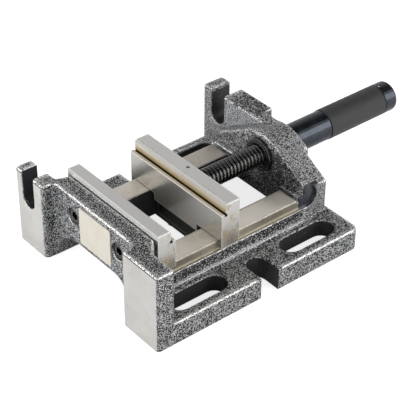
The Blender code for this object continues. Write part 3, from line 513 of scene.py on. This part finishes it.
def makeCastPaint():
    made, tree, shader = newMaterial("hammeredGreyPaint", Specular_IOR_Level=0.25)
    where = objectPlace(tree)
    look = {"Radius": casting["edgeRadius"], "Width": casting["edgeWidth"]}
    edge = useGroup(tree, edgeTurn, **look)
    facing = splitAxes(tree, edge["Normal"])

    highlight = findRimHighlights(tree, where, edge["Edge"], facing)
    shaded = findPaintedShade(tree, where)
    cover = coverPaint(tree, where, facing, highlight, shaded)
    scale = casting["speckleScale"]
    paint = useGroup(tree, hammerSpeckle, Place=where, Scale=scale, Cover=cover)
    # painted light: lighter, bluer paint on faces to the front
    frontLit = spread(tree, facing[0], -0.6, -0.9)
    dark = mixColour(tree, frontLit, casting["paintDark"], casting["frontLitDark"])
    # painted shade: darker ground where shade falls
    dark = mixColour(tree, shaded, dark, casting["paintShade"])
    light = mixColour(tree, frontLit, casting["paintLight"], casting["frontLitFlake"])
    # painted highlight: near-white flakes on upward edges
    light = mixColour(tree, highlight, light, casting["rimHighlight"])
    painted = mixColour(tree, paint["Flake"], dark, light)

    pads = boxMask(tree, where, casting["pads"], casting["sharp"])
    padLine = boxMask(tree, where, casting["padLine"], casting["sharp"])
    ways = boxMask(tree, where, casting["ways"], casting["sharp"])
    sides = boxMask(tree, where, casting["sides"], casting["sharp"])
    pocket = boxMask(tree, where, *casting["pocket"])
    machined = largest(tree, pads, ways, sides, pocket)
    mill = useGroup(tree, grindMarks, Place=where, Stretch=casting["millStretch"])
    cloud = spread(tree, mill["Cloud"], 0.35, 0.65)
    bare = mixColour(tree, ways, casting["padColour"], casting["wayColour"])
    bare = mixColour(tree, sides, bare, casting["sideColour"])
    # painted shade in the pocket
    bare = mixColour(tree, pocket, bare, casting["pocketShade"])
    marks = mixColour(tree, spread(tree, mill["Mark"], 0.3, 0.7), *casting["markTints"])
    bare = tint(tree, tint(tree, bare, marks), mixColour(tree, cloud, *casting["cloudTints"]))
    # painted shade on the left way behind the moving jaw
    wayShade = multiply(tree, ways, boxMask(tree, where, *casting["wayShade"]))
    bare = mixColour(tree, multiply(tree, wayShade, 0.6), bare, casting["wayShadeColour"])

    colour = mixColour(tree, machined, painted, bare)
    colour = mixColour(tree, multiply(tree, padLine, 0.85), colour, casting["paintDark"])
    flakeMetal = multiply(tree, paint["Flake"], mixValue(tree, highlight, *casting["flakeMetal"]))
    bareMetal = mixValue(tree, pads, casting["wayMetal"], casting["padMetal"])
    paintRough = mixValue(tree, paint["Flake"], casting["groundRough"], casting["flakeRough"])
    bareRough = mixValue(tree, cloud, *casting["bareRough"])
    bareHeight = multiply(tree, mill["Cloud"], casting["bareWave"])
    height = mixValue(tree, machined, paint["Height"], bareHeight)
    wire(tree, shader, {
        "Base Color": colour,
        "Metallic": mixValue(tree, machined, flakeMetal, bareMetal),
        "Roughness": mixValue(tree, machined, paintRough, bareRough),
        "Normal": addBump(tree, height, *casting["bump"], Normal=edge["Normal"]),
    })
    return made


jawSteel = {
    "clean": (0.69, 0.68, 0.66, 1),
    "warm": (0.56, 0.51, 0.43, 1),  # lower down
    "stain": (0.50, 0.36, 0.12, 1),
    "step": (0.80, 0.74, 0.65, 1),
    # dark below the moving jaw's tongue, its edges brown
    "underDark": (0.045, 0.044, 0.042, 1),
    "underEdge": (0.36, 0.28, 0.15, 1),
    "edge": (0.88, 0.87, 0.84, 1),
    "bevel": (0.58, 0.57, 0.54, 1),
    # painted highlight on the jaws' top ends and back edge
    "jawHighlight": (0.97, 0.97, 0.96, 1),
    # painted shade in the groove and along the jaws' feet on the ways
    "creaseShade": (0.010, 0.007, 0.004, 1),
    "markTint": (0.92, 0.92, 0.92, 1),
    "markStretch": (900.0, 10.0, 900.0),
    "edgeRadius": 0.0004,
    "edgeWidth": 0.0012,
    "worn": (0.12, 0.40),
    "blotchScale": 210.0,
    "warmRise": (0.062, 0.040),  # heights in metres between which the steel turns warm
    "warmDrift": 0.012,
    "ledgeStainRise": (0.0612, 0.0576),
    "soft": 0.2,
    "ends": bothSides((20, 49.8, 20), (96, jawReach, 66)),
    "topEnds": bothSides((20, 49.1, 63.3), (96, 50.6, 64.6)),
    "foot": bothSides((30, 28.6, 33.6), (96, 48, 34.85)),
    "stepFace": bothJaws(79.6, 81.3, 56.8, 64.1),
    "ledge": bothJaws(76.9, 80.5, 55.7, 56.6),
    "ledgeStain": bothJaws(79.6, 81.3, 56.4, 61),
    "groove": bothJaws(79.6, 81.9, 54.6, 56.8),
    "topBevel": [
        ((79.6, -jawReach, 62.6), (82.6, jawReach, 64.2)),
        ((33.0, -jawReach, 62.6), (35.9, jawReach, 64.2)),
    ],
    "back": [((23.4, -jawReach, 61.0), (24.2, jawReach, 64.5))],
    "backTop": [((23.4, -jawReach, 63.4), (24.7, jawReach, 64.6))],
    # the region below the moving jaw's tongue, coloured dark
    "underJaw": [((83.5, -30, -5), (110, 30, 34.2)), ((70, -30, -5), (110, 30, 28.4))],
    "rough": (0.20, 0.28),
    "dullRough": 0.42,
    "creaseShadeRough": 0.85,
    "metal": (0.75, 0.9),  # clean, dark below the jaw's tongue
    "dullMetal": 0.35,
    "bump": (0.12, 0.1),
}


def makeJawSteel():
    made, tree, shader = newMaterial("groundJawSteel")
    where = objectPlace(tree)
    rise = splitAxes(tree, where)[2]
    grind = useGroup(tree, grindMarks, Place=where, Stretch=jawSteel["markStretch"])
    look = {"Radius": jawSteel["edgeRadius"], "Width": jawSteel["edgeWidth"]}
    edge = useGroup(tree, edgeTurn, **look)
    worn = spread(tree, edge["Edge"], *jawSteel["worn"])
    blotch = noise(tree, where, jawSteel["blotchScale"], 4.0, Roughness=0.6)

    def region(name, soft=jawSteel["soft"]):
        return boxMask(tree, where, jawSteel[name], soft)

    step = largest(tree, region("stepFace"), region("ledge"))
    groove = region("groove")
    topBevel = region("topBevel", 0.1)
    back = region("back")
    underJaw = region("underJaw")
    ledgeStain = multiply(tree, region("ledgeStain"), spread(tree, rise, *jawSteel["ledgeStainRise"]))
    ledgeStain = multiply(tree, ledgeStain, spread(tree, blotch, 0.3, 0.6, 0.75, 1.0))
    endStain = multiply(tree, region("ends"), spread(tree, blotch, 0.50, 0.66, 0.0, 0.6))
    stained = largest(tree, endStain, ledgeStain)
    # painted highlight on the jaws' top ends and back edge
    highlighted = largest(tree, region("topEnds"), region("backTop"), back)
    # painted shade in the groove and along the jaws' feet on the ways
    creaseShaded = largest(tree, groove, multiply(tree, region("foot"), 0.8))

    drifting = add(tree, rise, multiply(tree, grind["Cloud"], jawSteel["warmDrift"]))
    low = spread(tree, drifting, *jawSteel["warmRise"])
    colour = mixColour(tree, multiply(tree, low, 0.6), jawSteel["clean"], jawSteel["warm"])
    shade = spread(tree, grind["Mark"], 0.25, 0.75)
    colour = mixColour(tree, shade, tint(tree, colour, jawSteel["markTint"]), colour)
    colour = mixColour(tree, step, colour, jawSteel["step"])
    colour = mixColour(tree, stained, colour, jawSteel["stain"])
    colour = mixColour(tree, multiply(tree, worn, 0.9), colour, jawSteel["edge"])
    colour = mixColour(tree, topBevel, colour, jawSteel["bevel"])
    colour = mixColour(tree, highlighted, colour, jawSteel["jawHighlight"])
    colour = mixColour(tree, creaseShaded, colour, jawSteel["creaseShade"])
    # dark below the moving jaw's tongue, its edges brown
    underColour = mixColour(tree, worn, jawSteel["underDark"], jawSteel["underEdge"])
    colour = mixColour(tree, underJaw, colour, underColour)

    dull = largest(tree, underJaw, stained, step, topBevel)
    rough = mixValue(tree, dull, mixValue(tree, shade, *jawSteel["rough"]), jawSteel["dullRough"])
    pale = largest(tree, step, worn, back, topBevel, groove)
    metal = mixValue(tree, underJaw, *jawSteel["metal"])
    wire(tree, shader, {
        "Base Color": colour,
        "Metallic": mixValue(tree, pale, metal, jawSteel["dullMetal"]),
        "Roughness": mixValue(tree, groove, rough, jawSteel["creaseShadeRough"]),
        "Normal": addBump(tree, grind["Mark"], *jawSteel["bump"], Normal=edge["Normal"]),
    })
    return made


screws = {
    "dark": (0.07, 0.07, 0.07, 1),
    "light": (0.11, 0.11, 0.108, 1),
    # painted shade in the thread's roots and other hollows
    "hollow": (0.018, 0.018, 0.018, 1),
    "edge": (0.34, 0.34, 0.33, 1),
    "grainScale": 900.0,
    "hollowReach": 0.003,
    "rough": (0.20, 0.32),
    "bump": (0.12, 0.1),
}


def makeBlackSteel():
    made, tree, shader = newMaterial("blackenedSteel", Metallic=1.0)
    where = objectPlace(tree)
    grain = noise(tree, where, screws["grainScale"], 3.0)
    edge = useGroup(tree, edgeTurn, Radius=0.0004, Width=0.0012)
    inside = useGroup(tree, recess, Reach=screws["hollowReach"])["Mask"]
    worn = spread(tree, edge["Edge"], 0.2, 0.5, 0.0, 0.7)
    colour = mixColour(tree, spread(tree, grain, 0.35, 0.7), screws["dark"], screws["light"])
    # painted shade in the thread's roots and other hollows
    colour = mixColour(tree, spread(tree, inside, 0.15, 0.6), colour, screws["hollow"])
    wire(tree, shader, {
        "Base Color": mixColour(tree, worn, colour, screws["edge"]),
        "Roughness": spread(tree, grain, 0.3, 0.7, *screws["rough"]),
        "Normal": addBump(tree, grain, *screws["bump"], Normal=edge["Normal"]),
    })
    return made


tube = {
    "dark": (0.044, 0.050, 0.059, 1),
    "light": (0.062, 0.069, 0.081, 1),
    "hazeScale": 120.0,
    "rough": (0.24, 0.32),
    "bump": (0.04, 0.2),
}


def makeGlossBlack():
    made, tree, shader = newMaterial("blueBlackTube", Metallic=1.0)
    haze = noise(tree, objectPlace(tree), tube["hazeScale"], 4.0)
    edge = useGroup(tree, edgeTurn, Radius=0.0006, Width=0.001)
    wire(tree, shader, {
        "Base Color": mixColour(tree, spread(tree, haze, 0.3, 0.7), tube["dark"], tube["light"]),
        "Roughness": spread(tree, haze, 0.3, 0.7, *tube["rough"]),
        "Normal": addBump(tree, haze, *tube["bump"], Normal=edge["Normal"]),
    })
    return made


grip = {
    "radius": 11.7,
    "knurlPitch": 1.05,
    "valley": (0.022, 0.022, 0.023, 1),
    "tip": (0.058, 0.059, 0.060, 1),
    "cloudScale": 260.0,
    "cloudTints": ((0.8, 0.8, 0.8, 1), (1.2, 1.2, 1.2, 1)),
    "rough": (0.46, 0.58),
    "bump": (0.5, 0.22),
}


def makeGrip():
    made, tree, shader = newMaterial("mattGrip", Metallic=0.0)
    where = objectPlace(tree)
    axes = splitAxes(tree, vectorMath(tree, "SUBTRACT", where, (0, 0, screwHeight * mm)))
    around = multiply(tree, doMath(tree, "ARCTAN2", axes[2], axes[1]), grip["radius"] * mm)
    turns = 2 * math.pi / (grip["knurlPitch"] * mm)
    oneWay = doMath(tree, "SINE", multiply(tree, add(tree, axes[0], around), turns))
    back = doMath(tree, "SUBTRACT", axes[0], around)
    otherWay = doMath(tree, "SINE", multiply(tree, back, turns))
    knurl = spread(tree, doMath(tree, "MINIMUM", oneWay, otherWay), -1.0, 0.8)
    cloud = noise(tree, where, grip["cloudScale"], 4.0)
    colour = mixColour(tree, knurl, grip["valley"], grip["tip"])
    wire(tree, shader, {
        "Base Color": tint(tree, colour, mixColour(tree, cloud, *grip["cloudTints"])),
        "Roughness": spread(tree, cloud, 0.3, 0.7, *grip["rough"]),
        "Normal": addBump(tree, knurl, *grip["bump"]),
    })
    return made


label = {
    "dark": (0.82, 0.77, 0.66, 1),
    "light": (0.87, 0.83, 0.74, 1),
    "cloudScale": 90.0,
    "fibreScale": 700.0,
    "bump": (0.1, 0.1),
}


def makeLabel():
    made, tree, shader = newMaterial("creamLabelFace", Roughness=0.45)
    where = objectPlace(tree)
    cloud = spread(tree, noise(tree, where, label["cloudScale"], 3.0), 0.35, 0.65)
    fibre = noise(tree, where, label["fibreScale"], 4.0)
    wire(tree, shader, {
        "Base Color": mixColour(tree, cloud, label["dark"], label["light"]),
        "Normal": addBump(tree, fibre, *label["bump"]),
    })
    return made


washers = {
    "dark": (0.34, 0.21, 0.09, 1),
    "light": (0.50, 0.33, 0.15, 1),
    "turnedStretch": (400.0, 900.0, 900.0),
    "rough": (0.32, 0.5),
}


def makeBronze():
    made, tree, shader = newMaterial("bronzeWasher", Metallic=1.0)
    where = objectPlace(tree)
    turned = useGroup(tree, grindMarks, Place=where, Stretch=washers["turnedStretch"])
    wire(tree, shader, {
        "Base Color": mixColour(tree, turned["Cloud"], washers["dark"], washers["light"]),
        "Roughness": spread(tree, turned["Mark"], 0.3, 0.7, *washers["rough"]),
    })
    return made


blackSteel = makeBlackSteel()
dress(makeCastPaint(), "base_casting")
dress(makeJawSteel(), "fixed_jaw_plate", "moving_jaw", "cap_pin")
dress(blackSteel, "jaw_cap_screw_left", "jaw_cap_screw_right", "keeper_plate")
dress(blackSteel, "keeper_screw_left", "keeper_screw_right", "screw_pin")
dress(blackSteel, "nut_sleeve", "retaining_collar", "lead_screw")
dress(makeGlossBlack(), "handle_tube", "handle_end_cap")
dress(makeGrip(), "handle_grip")
dress(makeLabel(), "label_plate")
dress(makeBronze(), "thrust_washer_front", "thrust_washer_rear")
print("vise: finishes on every node")

thread = {
    "tip": 85.5,  # x of the plain front end, in the jaw
    "tipRadius": 6.5,
    "tipChamfer": 1.2,
    "start": 92.0,
    "runIn": 0.6,
    "end": 210.8,
    "tail": 212.0,
    "tailRadius": 6.2,
    "pitch": 3.175,
    "crest": 7.85,
    "root": 6.35,
    "rootShare": 0.36,  # of the pitch
    "flankShare": 0.26,
    "stepsPerPitch": 10,
    "sides": 40,
    "smoothUpTo": 60,
}


def threadRadius(along, angle):
    lead = (along / thread["pitch"] + angle / (2 * math.pi)) % 1.0
    climb = (abs(lead - 0.5) * 2 - thread["rootShare"]) / thread["flankShare"]
    return thread["root"] + (thread["crest"] - thread["root"]) * min(max(climb, 0.0), 1.0)


def threadRings():
    # each ring's x, and its radius where that doesn't come from the thread
    start, end, crest = thread["start"], thread["end"], thread["crest"]
    rings = [(thread["tip"], 0.0), (thread["tip"], thread["tipRadius"])]
    rings += [(thread["tip"] + thread["tipChamfer"], crest), (start - thread["runIn"], crest)]
    count = int((end - start) / thread["pitch"] * thread["stepsPerPitch"])
    rings += [(start + (end - start) * i / count, None) for i in range(count + 1)]
    return rings + [(thread["tail"], thread["tailRadius"]), (thread["tail"], 0.0)]


def makeThread():
    sides = thread["sides"]
    rings = threadRings()
    points, faces = [], []
    for along, radius in rings:
        for side in range(sides):
            angle = 2 * math.pi * side / sides
            reach = threadRadius(along, angle) if radius is None else radius
            y, z = reach * math.cos(angle), screwHeight + reach * math.sin(angle)
            points.append(place(along, y, z))
    for ring in range(len(rings) - 1):
        first, second = ring * sides, (ring + 1) * sides
        for side in range(sides):
            other = (side + 1) % sides
            faces.append((first + side, first + other, second + other, second + side))
    mesh = bpy.data.meshes.new("threadedScrew")
    mesh.from_pydata(points, [], faces)
    mesh.shade_smooth()
    mesh.set_sharp_from_angle(angle=math.radians(thread["smoothUpTo"]))
    rod = bpy.data.objects.new("threadedScrew", mesh)
    scene.collection.objects.link(rod)
    mesh.materials.append(blackSteel)
    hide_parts("lead_screw")
    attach(rod, "sliding_jaw")


makeThread()
print("vise: thread cut on the screw")

print("vise: scene done")
